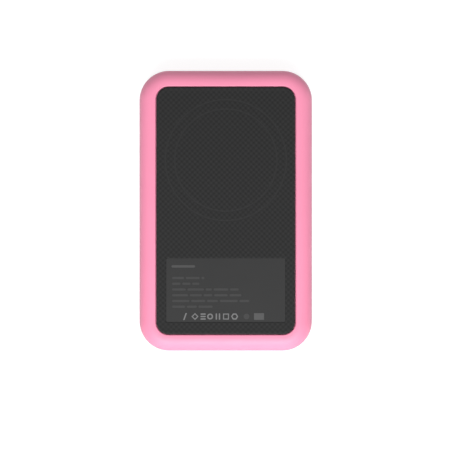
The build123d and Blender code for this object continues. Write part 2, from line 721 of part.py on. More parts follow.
bead_mid_z = FERRITE_TOP + THERMISTOR[2] / 2
bead_end_y = THERMISTOR_Y - THERMISTOR[1] / 2
thermistor_route = [
    (THERMISTOR_X, bead_end_y, bead_mid_z),
    (THERMISTOR_X, bead_end_y - THERMISTOR_STUB, bead_mid_z),
    (THERMISTOR_X, RING_CENTRE[1] - COIL_R[0] + OVERHANG_THERMISTOR, OVER_COIL_Z),
    *way_to_board(THERMISTOR_X, OVER_COIL_Z),
]
thermistor_bends = [THERMISTOR_BEND_R] * 2 + [COIL_LEAD_BEND_R] * 3
keep(wire(thermistor_route, thermistor_bends, THERMISTOR_LEAD_D), "thermistor_lead")

# ------------------------------------------------------------------ tape that holds the leads down
TAPE_T = 0.08
TAPE_L = 9.0
TAPE_Y = -26.0
TAPE_HALF_TOP = 3.0
TAPE_HALF_FOOT = 4.6
TAPE_HALF_END = 8.0
TAPE_RISE_Z = OVER_CELL_Z + COIL_LEAD_D / 2 + LEAD_TOUCH

with BuildPart() as lead_tape:
    with BuildSketch(Plane.XZ.offset(-TAPE_Y)):
        with BuildLine():
            lower = [
                (-TAPE_HALF_END, CELL_TOP),
                (-TAPE_HALF_FOOT, CELL_TOP),
                (-TAPE_HALF_TOP, TAPE_RISE_Z),
                (TAPE_HALF_TOP, TAPE_RISE_Z),
                (TAPE_HALF_FOOT, CELL_TOP),
                (TAPE_HALF_END, CELL_TOP),
            ]
            upper = [(x, z + TAPE_T) for x, z in reversed(lower)]
            Polyline(*lower, *upper, close=True)
        make_face()
    extrude(amount=TAPE_L / 2, both=True)
keep(lead_tape.part, "lead_tape")

print(len(made), "pieces written")
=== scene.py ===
"""Looks for the magnetic power bank: a finish for every CAD node, and finer pad, label, coil and board."""

import json
from math import cos, pi, sin

import bmesh
import bpy
import numpy as np
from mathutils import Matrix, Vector


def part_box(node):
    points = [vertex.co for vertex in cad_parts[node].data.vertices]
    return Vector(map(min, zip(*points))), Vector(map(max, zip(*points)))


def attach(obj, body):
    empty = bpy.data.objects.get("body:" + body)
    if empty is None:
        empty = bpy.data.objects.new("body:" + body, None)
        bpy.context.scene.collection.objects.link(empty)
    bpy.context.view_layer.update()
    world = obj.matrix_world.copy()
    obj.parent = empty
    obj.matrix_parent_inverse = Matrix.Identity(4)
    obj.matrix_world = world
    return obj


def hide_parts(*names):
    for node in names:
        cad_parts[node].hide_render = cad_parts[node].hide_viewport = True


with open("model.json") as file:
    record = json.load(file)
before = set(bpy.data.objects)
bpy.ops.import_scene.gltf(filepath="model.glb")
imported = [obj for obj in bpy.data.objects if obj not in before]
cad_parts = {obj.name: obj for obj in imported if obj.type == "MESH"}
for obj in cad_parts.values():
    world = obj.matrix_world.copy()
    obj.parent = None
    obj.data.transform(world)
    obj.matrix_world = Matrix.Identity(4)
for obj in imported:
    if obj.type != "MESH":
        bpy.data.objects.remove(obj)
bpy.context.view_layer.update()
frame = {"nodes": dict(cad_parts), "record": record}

MM = 0.001
CASE = "case"
scene = bpy.context.scene


# ------------------------------------------------------------------ node helpers
# A Mix node has a pair of inputs and an output for each data type, and these are the colour's.
MIX_COLORS_IN = (6, 7)
MIX_COLOR_OUT = 2


def set_input(node, name, value):
    """Sets a socket's own value, or joins it to another node's output."""
    if isinstance(value, bpy.types.NodeSocket):
        node.id_data.links.new(value, node.inputs[name])
    else:
        node.inputs[name].default_value = value


class Finish:
    """A procedural material on a Principled shader, with noises laid out in millimetres."""

    def __init__(self, name):
        self.material = bpy.data.materials.new(name)
        self.material.use_nodes = True
        self.tree = self.material.node_tree
        self.shader = self.tree.nodes["Principled BSDF"]
        self.place = self.node("ShaderNodeTexCoord").outputs["Object"]
        self.height = None

    def node(self, kind, **values):
        """A new node with the given properties."""
        made = self.tree.nodes.new(kind)
        for name, value in values.items():
            setattr(made, name, value)
        return made

    def stretched(self, scale):
        """The object's coordinates scaled by one factor per axis."""
        mapping = self.node("ShaderNodeMapping")
        set_input(mapping, "Vector", self.place)
        set_input(mapping, "Scale", scale)
        return mapping.outputs["Vector"]

    def noise(self, size_mm, detail=3.0, place=None, roughness=0.55):
        """Cloudy noise with features of about the given size."""
        made = self.node("ShaderNodeTexNoise")
        set_input(made, "Vector", place or self.place)
        set_input(made, "Scale", 1 / (size_mm * MM))
        set_input(made, "Detail", detail)
        set_input(made, "Roughness", roughness)
        return made.outputs["Fac"]

    def math(self, operation, *values):
        """The result of one arithmetic step on numbers or other nodes' outputs."""
        made = self.node("ShaderNodeMath", operation=operation)
        for socket, value in zip(made.inputs, values):
            if isinstance(value, bpy.types.NodeSocket):
                self.tree.links.new(value, socket)
            else:
                socket.default_value = value
        return made.outputs["Value"]

    def plan(self):
        """The object's X and Y."""
        made = self.node("ShaderNodeSeparateXYZ")
        set_input(made, "Vector", self.place)
        return made.outputs["X"], made.outputs["Y"]

    def lattice(self, period_mm):
        """1 on the crests and 0 in the hollows of a diagonal lattice laid over X and Y."""
        x, y = self.plan()
        per_metre = 2 * pi / (period_mm * MM)
        wave_x = self.math("SINE", self.math("MULTIPLY", x, per_metre))
        wave_y = self.math("SINE", self.math("MULTIPLY", y, per_metre))
        return self.math("MULTIPLY_ADD", self.math("MULTIPLY", wave_x, wave_y), 0.5, 0.5)

    def ring_band(self, centre_y, radius, half_width, fade):
        """1 along a circle round (0, centre_y), fading to 0 beside it."""
        x, y = self.plan()
        up = self.math("SUBTRACT", y, centre_y * MM)
        squares = self.math("ADD", self.math("MULTIPLY", x, x), self.math("MULTIPLY", up, up))
        reach = self.math("SQRT", squares)
        off = self.math("ABSOLUTE", self.math("SUBTRACT", reach, radius * MM))
        return self.spread(off, 1, 0, half_width * MM, (half_width + fade) * MM)

    def cells(self, size_mm):
        """Distance to the nearest of points scattered about the given size apart."""
        made = self.node("ShaderNodeTexVoronoi", feature="F1")
        set_input(made, "Vector", self.place)
        set_input(made, "Scale", 1 / (size_mm * MM))
        return made.outputs["Distance"]

    def spread(self, value, low, high, from_low=0.3, from_high=0.7):
        """A texture's middle range spread over low to high."""
        made = self.node("ShaderNodeMapRange")
        set_input(made, "Value", value)
        set_input(made, "From Min", from_low)
        set_input(made, "From Max", from_high)
        set_input(made, "To Min", low)
        set_input(made, "To Max", high)
        return made.outputs["Result"]

    def mixed(self, amount, first, second):
        """The first colour where the amount is 0, and the second where it is 1."""
        made = self.node("ShaderNodeMix", data_type="RGBA")
        set_input(made, "Factor", amount)
        for socket, value in zip(MIX_COLORS_IN, (first, second)):
            if isinstance(value, bpy.types.NodeSocket):
                self.tree.links.new(value, made.inputs[socket])
            else:
                made.inputs[socket].default_value = (*value, 1)
        return made.outputs[MIX_COLOR_OUT]

    def bump(self, height, depth_mm):
        """Adds relief of a real depth to the relief that is there already."""
        made = self.node("ShaderNodeBump")
        set_input(made, "Strength", 1.0)
        set_input(made, "Distance", depth_mm * MM)
        set_input(made, "Height", height)
        if self.height is not None:
            set_input(made, "Normal", self.height)
        self.height = made.outputs["Normal"]

    def finish(self, color, roughness, **uniform):
        """Joins everything to the shader, with other values on its own sockets."""
        set_input(self.shader, "Base Color", color)
        set_input(self.shader, "Roughness", roughness)
        if self.height is not None:
            set_input(self.shader, "Normal", self.height)
        for name, value in uniform.items():
            set_input(self.shader, name.replace("_", " "), value)
        return self.material


def scaled(color, factor):
    """A colour made lighter or darker."""
    return tuple(min(1.0, c * factor) for c in color)


def moulded(name, color, roughness, grain_mm, grain_depth, variation, uneven=0.055, **uniform):
    """Moulded plastic: even colour with a faint drift, a fine grain and handled patches.

    The grain's size and depth are in millimetres. Variation is a share of the colour, and uneven is how far
    the roughness goes to either side.
    """
    made = Finish(name)
    drift = made.noise(14, detail=2)
    grain = made.noise(grain_mm, detail=4)
    handled = made.noise(5, detail=3)
    shade = made.mixed(made.spread(drift, 0, 1), scaled(color, 1 - variation), scaled(color, 1 + variation))
    speck = made.mixed(made.spread(grain, 0, 0.25), shade, scaled(color, 1 - 2 * variation))
    made.bump(grain, grain_depth)
    return made.finish(speck, made.spread(handled, roughness - uneven, roughness + uneven), **uniform)


def metal(name, color, roughness, streak=(1, 12, 1), variation=0.12):
    """Worked metal: streaks made finer by one factor per axis, small pits and uneven gloss."""
    made = Finish(name)
    streaks = made.noise(0.5, detail=4, place=made.stretched(streak))
    pits = made.noise(0.12, detail=3)
    tarnish = made.noise(3, detail=3)
    dark, light = scaled(color, 1 - variation), scaled(color, 1 + variation / 2)
    shade = made.mixed(made.spread(streaks, 0, 1), dark, light)
    worn = made.mixed(made.spread(tarnish, 0, 0.35), shade, scaled(color, 1 - 2 * variation))
    made.bump(streaks, 0.003)
    made.bump(pits, 0.002)
    gloss = made.spread(tarnish, roughness - 0.07, roughness + 0.12)
    return made.finish(worn, gloss, Metallic=1.0)


# ------------------------------------------------------------------ finishes
PINK = (0.80, 0.247, 0.382)
# The pad's colour in the lattice's hollows: painted shade, partly dust.
PAD_HOLLOW_SHADE_AND_DUST = (0.0105, 0.0106, 0.0107)
PAD_LIGHT = (0.0205, 0.0205, 0.0207)
PAD_RING = (0.0195, 0.0195, 0.0198)
LABEL_DARK = (0.0190, 0.0190, 0.0192)
INK_FAINT = (0.034, 0.034, 0.0343)
INK_TITLE = (0.052, 0.052, 0.0525)
INK_BRIGHT = (0.150, 0.150, 0.151)
INK_PATCH = (0.066, 0.066, 0.0665)

# The pad's skin, in millimetres: a diagonal lattice, and two faint rings round one centre.
GRID_STEP = 0.2475
LATTICE_PERIOD = 8 * GRID_STEP
RING_CENTRE_Y = 18.6
RING_RADII = (18.95, 22.45)
RING_PALE_HALF = 0.2
RING_PALE_FADE = 0.15


def pink_finish(name, roughness):
    """The case's pink plastic, with a soft sheen."""
    made = Finish(name)
    drift = made.noise(22, detail=2)
    grain = made.noise(0.16, detail=5)
    coarse = made.noise(0.6, detail=3)
    handled = made.noise(7, detail=4)
    shade = made.mixed(made.spread(drift, 0, 1), scaled(PINK, 0.975), scaled(PINK, 1.02))
    speck = made.mixed(made.spread(grain, 0, 0.3), shade, scaled(PINK, 0.94))
    made.bump(coarse, 0.003)
    made.bump(grain, 0.0035)
    gloss = made.spread(handled, roughness - 0.04, roughness + 0.05)
    return made.finish(speck, gloss, Specular_IOR_Level=0.5, Sheen_Weight=0.12, Sheen_Roughness=0.4)


def pad_finish():
    """The pad's dark skin: darker in the lattice's hollows, which is painted shade and partly dust, and paler
    on the rings, with a leather grain and dust.
    """
    made = Finish("pad_skin")
    drift = made.noise(9, detail=3)
    grain = made.noise(0.3, detail=4)
    leather = made.cells(0.33)
    dust = made.noise(0.9, detail=5, roughness=0.7)
    # The lattice's hollows, where the relief is low, get the darker colour: painted shade, partly dust.
    lattice_shade_and_dust = made.mixed(made.lattice(LATTICE_PERIOD), PAD_HOLLOW_SHADE_AND_DUST, PAD_LIGHT)
    for ring_r in RING_RADII:
        band = made.ring_band(RING_CENTRE_Y, ring_r, RING_PALE_HALF, RING_PALE_FADE)
        lattice_shade_and_dust = made.mixed(band, lattice_shade_and_dust, PAD_RING)
    shade = made.mixed(made.spread(drift, 0, 0.12), lattice_shade_and_dust, PAD_LIGHT)
    dusty = made.spread(dust, 0, 0.3, from_low=0.55, from_high=0.8)
    speck = made.mixed(dusty, shade, scaled(PAD_LIGHT, 1.6))
    made.bump(leather, 0.006)
    made.bump(grain, 0.004)
    return made.finish(speck, made.spread(drift, 0.69, 0.73), Specular_IOR_Level=0.2)


# moulded: name, colour, roughness, the grain's size and depth, and how far the colour varies.
# metal: name, colour, roughness, how much finer the streaks are per axis, and how far the colour varies.
finishes = {
    "soft_touch_pink": pink_finish("soft_touch_pink", 0.46),
    "gloss_pink": pink_finish("gloss_pink", 0.36),
    "dark_pad_skin": pad_finish(),
    "label_film": moulded("label_film", LABEL_DARK, 0.55, 0.2, 0.002, 0.04,
                          uneven=0.015, Specular_IOR_Level=0.3),
    "adhesive_film": moulded("adhesive_film", (0.72, 0.70, 0.62), 0.6, 0.5, 0.004, 0.06),
    "light_guide": moulded("light_guide", (0.86, 0.87, 0.88), 0.28, 0.4, 0.001, 0.02,
                           Subsurface_Weight=0.4, Subsurface_Scale=0.001),
    "led_package": moulded("led_package", (0.88, 0.82, 0.55), 0.3, 0.2, 0.002, 0.05),
    "formed_steel": metal("formed_steel", (0.60, 0.60, 0.61), 0.26),
    "screw_steel": metal("screw_steel", (0.09, 0.09, 0.095), 0.38),
    "black_moulding": moulded("black_moulding", (0.025, 0.025, 0.027), 0.42, 0.2, 0.003, 0.12),
    "chip_epoxy": moulded("chip_epoxy", (0.020, 0.020, 0.022), 0.62, 0.12, 0.006, 0.2),
    "gold_contact": metal("gold_contact", (0.95, 0.72, 0.32), 0.2),
    "circuit_board": moulded("circuit_board", (0.012, 0.105, 0.045), 0.36, 0.35, 0.003, 0.15),
    "mask_over_copper": moulded("mask_over_copper", (0.030, 0.190, 0.085), 0.34, 0.35, 0.002, 0.1),
    "moulded_ferrite": moulded("moulded_ferrite", (0.085, 0.085, 0.088), 0.7, 0.15, 0.012, 0.15),
    "capacitor_ceramic": moulded("capacitor_ceramic", (0.42, 0.29, 0.17), 0.45, 0.15, 0.003, 0.1),
    "pouch_foil": metal("pouch_foil", (0.66, 0.67, 0.68), 0.34, (1, 5, 1), 0.06),
    "nickel_strip": metal("nickel_strip", (0.72, 0.70, 0.66), 0.25),
    "foam_pad": moulded("foam_pad", (0.05, 0.05, 0.05), 0.85, 0.2, 0.04, 0.25),
    "lead_red_jacket": moulded("lead_red_jacket", (0.62, 0.02, 0.02), 0.42, 0.3, 0.002, 0.06),
    "lead_black_jacket": moulded("lead_black_jacket", (0.02, 0.02, 0.02), 0.42, 0.3, 0.002, 0.1),
    "graphite_sheet": metal("graphite_sheet", (0.12, 0.12, 0.125), 0.42, (3, 3, 1), 0.15),
    "tray_moulding": moulded("tray_moulding", (0.70, 0.70, 0.69), 0.5, 0.3, 0.004, 0.04),
    "copper_winding": metal("copper_winding", (0.80, 0.36, 0.18), 0.3, (4, 4, 1), 0.12),
    "coil_lead_jacket": moulded("coil_lead_jacket", (0.60, 0.26, 0.10), 0.35, 0.3, 0.002, 0.08),
    "ferrite_plate": moulded("ferrite_plate", (0.060, 0.060, 0.062), 0.55, 0.2, 0.006, 0.15),
    "thermistor_bead": moulded("thermistor_bead", (0.06, 0.10, 0.22), 0.22, 0.4, 0.003, 0.1),
    "thermistor_jacket": moulded("thermistor_jacket", (0.60, 0.45, 0.05), 0.4, 0.3, 0.002, 0.08),
    "magnet_nickel": metal("magnet_nickel", (0.74, 0.73, 0.71), 0.16),
    "amber_tape": moulded("amber_tape", (0.55, 0.25, 0.02), 0.18, 0.8, 0.002, 0.12),
}
for part in frame["record"]["subparts"]:
    node = frame["nodes"][part["node"]]
    node.data.materials.clear()
    node.data.materials.append(finishes[part["material_slot"]])


# ------------------------------------------------------------------ meshes
def new_piece(name, points, faces, finish, body=CASE, smooth=True):
    """A mesh from points in millimetres, joined to a CAD body."""
    mesh = bpy.data.meshes.new(name)
    mesh.from_pydata([tuple(c * MM for c in p) for p in points], [], faces)
    mesh.validate()
    if smooth:
        mesh.shade_smooth()
    else:
        mesh.shade_flat()
    mesh.materials.append(finish)
    piece = bpy.data.objects.new(name, mesh)
    scene.collection.objects.link(piece)
    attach(piece, body)
    return piece


def middle_and_half(node):
    """A CAD node's middle and half size in plan, in millimetres, and its lowest and highest level."""
    low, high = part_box(node)
    middle = ((low.x + high.x) / 2 / MM, (low.y + high.y) / 2 / MM)
    half = ((high.x - low.x) / 2 / MM, (high.y - low.y) / 2 / MM)
    return middle, half, low.z / MM, high.z / MM


def round_step(distance, width):
    """0 to 1 over the given width, smooth at both ends."""
    t = np.clip(distance / width, 0, 1)
    return t * t * (3 - 2 * t)


PAD_CORNER_R = 4.55
PAD_EDGE_R = 0.5
TOP_CORNER_R = PAD_CORNER_R - PAD_EDGE_R
PAD_EDGE_STEPS = 6
MERGE_DISTANCE = 1e-4

# The pad's relief. The lattice dies out towards the rim, beside each ring's groove and beside the label.
LATTICE_HEIGHT = 0.09
RIM_PLAIN = 0.3
RIM_FADE = 0.8
RING_PLAIN = 0.34
RING_FADE = 0.3
GROOVE_DEPTH = 0.1
LABEL_FADE = 0.3
LABEL_HOLLOW = 0.2
HOLLOW_MARGIN = 0.05
HOLLOW_FADE = 0.25


def pad_height(x, y, border):
    """How far the pad's top lies from its flat level: lattice, ring grooves and the label's hollow.

    Border is the distance in from the rim.
    """
    lattice = np.sin(2 * pi * x / LATTICE_PERIOD) * np.sin(2 * pi * y / LATTICE_PERIOD)
    relief = LATTICE_HEIGHT * 0.5 * (lattice - 1)
    kept = round_step(border - RIM_PLAIN, RIM_FADE)
    groove = 0
    radius = np.hypot(x, y - RING_CENTRE_Y)
    for ring_r in RING_RADII:
        off = np.abs(radius - ring_r)
        kept = kept * round_step(off - RING_PLAIN / 2, RING_FADE)
        groove = groove + 1 - round_step(off - RING_PLAIN / 4, RING_FADE)
    label, label_half, _, _ = middle_and_half("rating_label")
    outside = np.maximum(np.abs(x - label[0]) - label_half[0], np.abs(y - label[1]) - label_half[1])
    kept = kept * round_step(outside, LABEL_FADE)
    relief = relief * kept - GROOVE_DEPTH * groove
    return relief - LABEL_HOLLOW * (1 - round_step(outside + HOLLOW_MARGIN, HOLLOW_FADE))


def pad_grid(inner):
    """Where the points of the pad's top lie, as a grid pulled in at the round corners, and their relief."""
    columns = int(np.ceil(inner[0] / GRID_STEP))
    rows = int(np.ceil(inner[1] / GRID_STEP))
    across = np.arange(-columns, columns + 1) * GRID_STEP
    along = np.arange(-rows, rows + 1) * GRID_STEP
    xs, ys = np.meshgrid(np.clip(across, -inner[0], inner[0]), np.clip(along, -inner[1], inner[1]))
    centre_x = np.clip(xs, -(inner[0] - TOP_CORNER_R), inner[0] - TOP_CORNER_R)
    centre_y = np.clip(ys, -(inner[1] - TOP_CORNER_R), inner[1] - TOP_CORNER_R)
    reach = np.hypot(xs - centre_x, ys - centre_y)
    pull = TOP_CORNER_R / np.maximum(reach, TOP_CORNER_R)
    xs = centre_x + (xs - centre_x) * pull
    ys = centre_y + (ys - centre_y) * pull
    border = TOP_CORNER_R - np.hypot(xs - centre_x, ys - centre_y)
    border = np.minimum(border, np.minimum(inner[0] - np.abs(xs), inner[1] - np.abs(ys)))
    return xs, ys, pad_height(xs, ys, border)


def add_pad_edge(bm, inner, base_z, top_z):
    """The rounded edge, the side and the underside: the rim, extruded outward and down in steps."""
    edge = [e for e in bm.edges if e.is_boundary]
    rim = {v for e in edge for v in e.verts}
    start = {v: Vector(v.co) for v in rim}
    outward = {}
    for v in rim:
        cx = max(-(inner[0] - TOP_CORNER_R), min(inner[0] - TOP_CORNER_R, v.co.x))
        cy = max(-(inner[1] - TOP_CORNER_R), min(inner[1] - TOP_CORNER_R, v.co.y))
        outward[v] = Vector((v.co.x - cx, v.co.y - cy, 0)).normalized()
    levels = []
    for step in range(1, PAD_EDGE_STEPS + 1):
        angle = step / PAD_EDGE_STEPS * pi / 2
        levels.append((PAD_EDGE_R * sin(angle), PAD_EDGE_R * (1 - cos(angle))))
    levels.append((PAD_EDGE_R, top_z - base_z))
    for reach_out, drop in levels:
        made = bmesh.ops.extrude_edge_only(bm, edges=edge)["geom"]
        new_edges = [g for g in made if isinstance(g, bmesh.types.BMEdge) and g.is_boundary]
        new_verts = {v for e in new_edges for v in e.verts}
        next_start, next_outward = {}, {}
        for v in new_verts:
            old = next(e.other_vert(v) for e in v.link_edges if e.other_vert(v) in start)
            next_start[v], next_outward[v] = start[old], outward[old]
            v.co = start[old] + outward[old] * reach_out
            v.co.z = top_z - drop
        edge, start, outward = new_edges, next_start, next_outward
    bmesh.ops.contextual_create(bm, geom=edge)


def build_pad():
    """A finer mesh for the pad, with its texture, its grooves and the label's hollow."""
    _, half, base_z, top_z = middle_and_half("contact_pad")
    inner = (half[0] - PAD_EDGE_R, half[1] - PAD_EDGE_R)
    xs, ys, reliefs = pad_grid(inner)
    heights = top_z + reliefs
    index = np.arange(xs.size).reshape(xs.shape)
    corners = [index[:-1, :-1], index[:-1, 1:], index[1:, 1:], index[1:, :-1]]
    quads = np.stack(corners, axis=-1).reshape(-1, 4)

    bm = bmesh.new()
    for x, y, z in zip(xs.ravel(), ys.ravel(), heights.ravel()):
        bm.verts.new((x, y, z))
    bm.verts.ensure_lookup_table()
    for quad in quads:
        bm.faces.new([bm.verts[i] for i in quad])
    bmesh.ops.remove_doubles(bm, verts=bm.verts, dist=MERGE_DISTANCE)
    bmesh.ops.dissolve_degenerate(bm, edges=bm.edges, dist=MERGE_DISTANCE)
    add_pad_edge(bm, inner, base_z, top_z)
    bmesh.ops.recalc_face_normals(bm, faces=bm.faces)
    points = [tuple(v.co) for v in bm.verts]
    faces = [[v.index for v in f.verts] for f in bm.faces]
    bm.free()
    piece = new_piece("pad_textured", points, faces, finishes["dark_pad_skin"])
    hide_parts("contact_pad")


def flat_bars(name, shapes, z_low, z_high, finish):
    """Thin upright prisms over closed outlines, in one mesh."""
    points, faces = [], []
    for outline in shapes:
        first, count = len(points), len(outline)
        points += [(x, y, z_low) for x, y in outline] + [(x, y, z_high) for x, y in outline]
        faces.append([first + i for i in reversed(range(count))])
        faces.append([first + count + i for i in range(count)])
        for i in range(count):
            j = (i + 1) % count
            faces.append([first + i, first + j, first + count + j, first + count + i])
    new_piece(name, points, faces, finish, smooth=False)


def bands(name, loops, z_low, z_high, finish):
    """Flat closed bands of (centre, inner radius, outer radius, sides, turn), in one mesh."""
    points, faces = [], []
    for (cx, cy), inner_r, outer_r, sides, turn in loops:
        first = len(points)
        for i in range(sides):
            a = turn + 2 * pi * i / sides
            for radius in (inner_r, outer_r):
                for z in (z_low, z_high):
                    points.append((cx + radius * cos(a), cy + radius * sin(a), z))
        for i in range(sides):
            a, b = first + 4 * i, first + 4 * ((i + 1) % sides)
            for p, q in ((0, 1), (1, 3), (3, 2), (2, 0)):
                faces.append([a + p, a + q, b + q, b + p])
    new_piece(name, points, faces, finish, smooth=False)


CUT_SHARE = 0.3


def cut_bar(x0, x1, middle_y, height, cut=None):
    """The outline of a flat bar with cut corners."""
    cut = cut or min(height, x1 - x0) * CUT_SHARE
    low, high = middle_y - height / 2, middle_y + height / 2
    return [(x0 + cut, low), (x1 - cut, low), (x1, low + cut), (x1, high - cut),
            (x1 - cut, high), (x0 + cut, high), (x0, high - cut), (x0, low + cut)]


def regular(centre, radius, sides):
    """The outline of a regular polygon."""
    angles = [2 * pi * i / sides for i in range(sides)]
    return [(centre[0] + radius * cos(a), centre[1] + radius * sin(a)) for a in angles]


# The label's print, in millimetres: lines of dashes as long as words, and a title bar given by its two ends,
# its middle and its height.
LINE_START = -19.9
LINE_FIRST_Y = -25.0
LINE_PITCH = 2.13
WORD_GAP = 0.7
WORD_H = 0.85
PRINTED_LINES = [
    [4.4, 5.1, 1.1],
    [3.1, 3.0, 2.6],
    [5.0, 6.1, 2.2, 5.4, 3.2],
    [5.9, 4.4, 3.2, 5.0, 4.4],
    [6.4, 5.2, 4.0, 6.6, 3.6],
    [4.8, 3.6, 5.2],
]
TITLE = (-20.1, -11.4, -20.7, 0.9)
PRINT_T = 0.015

# The row of plain shapes below the print. The shares are of half the row's height, and PAIR_HEIGHT_SHARE is
# of all of it.
SHAPES_X = (-15.1, -11.4, -8.4, -5.8, -2.9, 0.1, 3.3)
SHAPES_Y = -39.3
SHAPES_H = 2.6
STROKE = 0.5
SLASH_FAR = 0.7
SLASH_NEAR = 0.2
STACK_PITCH_SHARE = 0.7
STACK_SHARE = 0.75
PAIR_SHARE = 0.45
PAIR_HEIGHT_SHARE = 0.9
RING_SHARE = 0.85
RING_SIDES = 32
SQUARE_SHARE = 1.2
FAINT_X = 7.7
FAINT_SHARE = 0.8
FAINT_SIDES = 24
PATCH = (10.5, 14.2)
PATCH_SHARE = 0.95


def print_finish(name, color):
    """Ink on the label."""
    return moulded(name, color, 0.5, 0.12, 0.001, 0.06, Specular_IOR_Level=0.3)


def build_print():
    """Dashes for the lines of print, and a bar for the title."""
    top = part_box("rating_label")[1].z / MM
    dashes = []
    for row, words in enumerate(PRINTED_LINES):
        x = LINE_START
        for length in words:
            dashes.append(cut_bar(x, x + length, LINE_FIRST_Y - row * LINE_PITCH, WORD_H))
            x += length + WORD_GAP
    flat_bars("label_dashes", dashes, top, top + PRINT_T, print_finish("ink_faint", INK_FAINT))
    title = cut_bar(*TITLE)
    flat_bars("label_title", [title], top, top + PRINT_T, print_finish("ink_title", INK_TITLE))


def build_shapes():
    """A row of plain shapes: slash, diamond, bars, ring, two bars, square, hexagon, faint disc and patch."""
    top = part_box("rating_label")[1].z / MM
    radius = SHAPES_H / 2
    low, high = SHAPES_Y - radius, SHAPES_Y + radius
    slash_x, diamond_x, stack_x, ring_x, pair_x, square_x, hexagon_x = SHAPES_X

    slash = [(slash_x - SLASH_FAR, low), (slash_x - SLASH_NEAR, low),
             (slash_x + SLASH_FAR, high), (slash_x + SLASH_NEAR, high)]
    solid = [slash]
    for step in (-1, 0, 1):
        bar_y = SHAPES_Y + step * radius * STACK_PITCH_SHARE
        solid.append(cut_bar(stack_x - radius * STACK_SHARE, stack_x + radius * STACK_SHARE, bar_y, STROKE))
    for side in (-1, 1):
        bar_x = pair_x + side * radius * PAIR_SHARE
        bar_h = SHAPES_H * PAIR_HEIGHT_SHARE
        solid.append(cut_bar(bar_x - STROKE / 2, bar_x + STROKE / 2, SHAPES_Y, bar_h))
    bright = print_finish("ink_bright", INK_BRIGHT)
    flat_bars("label_shapes", solid, top, top + PRINT_T, bright)

    ring_r, square_r = radius * RING_SHARE, radius * SQUARE_SHARE
    outlines = [
        ((diamond_x, SHAPES_Y), radius - STROKE, radius, 4, 0),
        ((ring_x, SHAPES_Y), ring_r - STROKE, ring_r, RING_SIDES, 0),
        ((square_x, SHAPES_Y), square_r - STROKE, square_r, 4, pi / 4),
        ((hexagon_x, SHAPES_Y), radius - STROKE, radius, 6, 0),
    ]
    bands("label_outlines", outlines, top, top + PRINT_T, bright)

    disc = regular((FAINT_X, SHAPES_Y), radius * FAINT_SHARE, FAINT_SIDES)
    pale = print_finish("ink_pale", INK_FAINT)
    flat_bars("label_faint_shape", [disc], top, top + PRINT_T, pale)
    low, high = SHAPES_Y - radius * PATCH_SHARE, SHAPES_Y + radius * PATCH_SHARE
    patch = [(PATCH[0], low), (PATCH[1], low), (PATCH[1], high), (PATCH[0], high)]
    flat_bars("label_patch", [patch], top, top + PRINT_T, print_finish("ink_patch", INK_PATCH))


# ------------------------------------------------------------------ inside the case
COIL_INNER_R = 10.4
COIL_STEPS_PER_TURN = 72
COIL_WIRE_SIDES = 12


def build_coil():
    """The charging coil as turns of round stranded wire."""
    middle, half, low_z, high_z = middle_and_half("charging_coil")
    wire_r = (high_z - low_z) / 2
    turns = round((half[0] - COIL_INNER_R) / (2 * wire_r))
    start_r, end_r = COIL_INNER_R + wire_r, half[0] - wire_r
    steps = (turns - 1) * COIL_STEPS_PER_TURN
    points, faces = [], []
    for step in range(steps + 1):
        angle = 2 * pi * step / COIL_STEPS_PER_TURN - pi / 2
        spiral_r = start_r + (end_r - start_r) * step / steps
        for side in range(COIL_WIRE_SIDES):
            around = 2 * pi * side / COIL_WIRE_SIDES
            reach = spiral_r + wire_r * cos(around)
            height = (low_z + high_z) / 2 + wire_r * sin(around)
            points.append((middle[0] + reach * cos(angle), middle[1] + reach * sin(angle), height))
    for step in range(steps):
        for side in range(COIL_WIRE_SIDES):
            a = step * COIL_WIRE_SIDES + side
            b = step * COIL_WIRE_SIDES + (side + 1) % COIL_WIRE_SIDES
            faces.append([a, a + COIL_WIRE_SIDES, b + COIL_WIRE_SIDES, b])
    last = steps * COIL_WIRE_SIDES
    faces.append(list(range(COIL_WIRE_SIDES)))
    faces.append([last + i for i in reversed(range(COIL_WIRE_SIDES))])
    piece = new_piece("coil_turns", points, faces, finishes["copper_winding"])
    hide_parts("charging_coil")


WELD_DISTANCE = 0.001 * MM


def blocks(node):
    """The separate solids of a CAD node as (low, high) corners in millimetres."""
    bm = bmesh.new()
    bm.from_mesh(frame["nodes"][node].data)
    bm.transform(frame["nodes"][node].matrix_world)
    bmesh.ops.remove_doubles(bm, verts=bm.verts, dist=WELD_DISTANCE)
    left, found = set(bm.verts), []
    while left:
        group, waiting = set(), [min(left, key=lambda v: v.index)]
        while waiting:
            v = waiting.pop()
            if v in group:
                continue
            group.add(v)
            waiting += [e.other_vert(v) for e in v.link_edges]
        left -= group
        corners = np.array([v.co for v in group]) / MM
        found.append((corners.min(axis=0), corners.max(axis=0)))
    bm.free()
    return sorted(found, key=lambda block: (block[0][0], block[0][1]))


CAP_END_SHARE = 0.22
CAP_END_PROUD = 0.012
CAP_END_CUT = 0.05


def build_capacitor_ends():
    """Tinned ends wrapped over the ends of each chip capacitor, which stand level in each CAD node."""
    for node in ("ceramic_capacitors", "resonance_capacitors"):
        chips = blocks(node)
        (_, _, bottom), (_, _, top) = chips[-1]
        tinned = []
        for low, high in chips:
            band = (high[0] - low[0]) * CAP_END_SHARE
            middle_y, width = (low[1] + high[1]) / 2, high[1] - low[1] + 2 * CAP_END_PROUD
            tinned.append(cut_bar(low[0] - CAP_END_PROUD, low[0] + band, middle_y, width, CAP_END_CUT))
            tinned.append(cut_bar(high[0] - band, high[0] + CAP_END_PROUD, middle_y, width, CAP_END_CUT))
        flat_bars(node.replace("capacitors", "ends"), tinned, bottom, top + CAP_END_PROUD,
                  finishes["nickel_strip"])


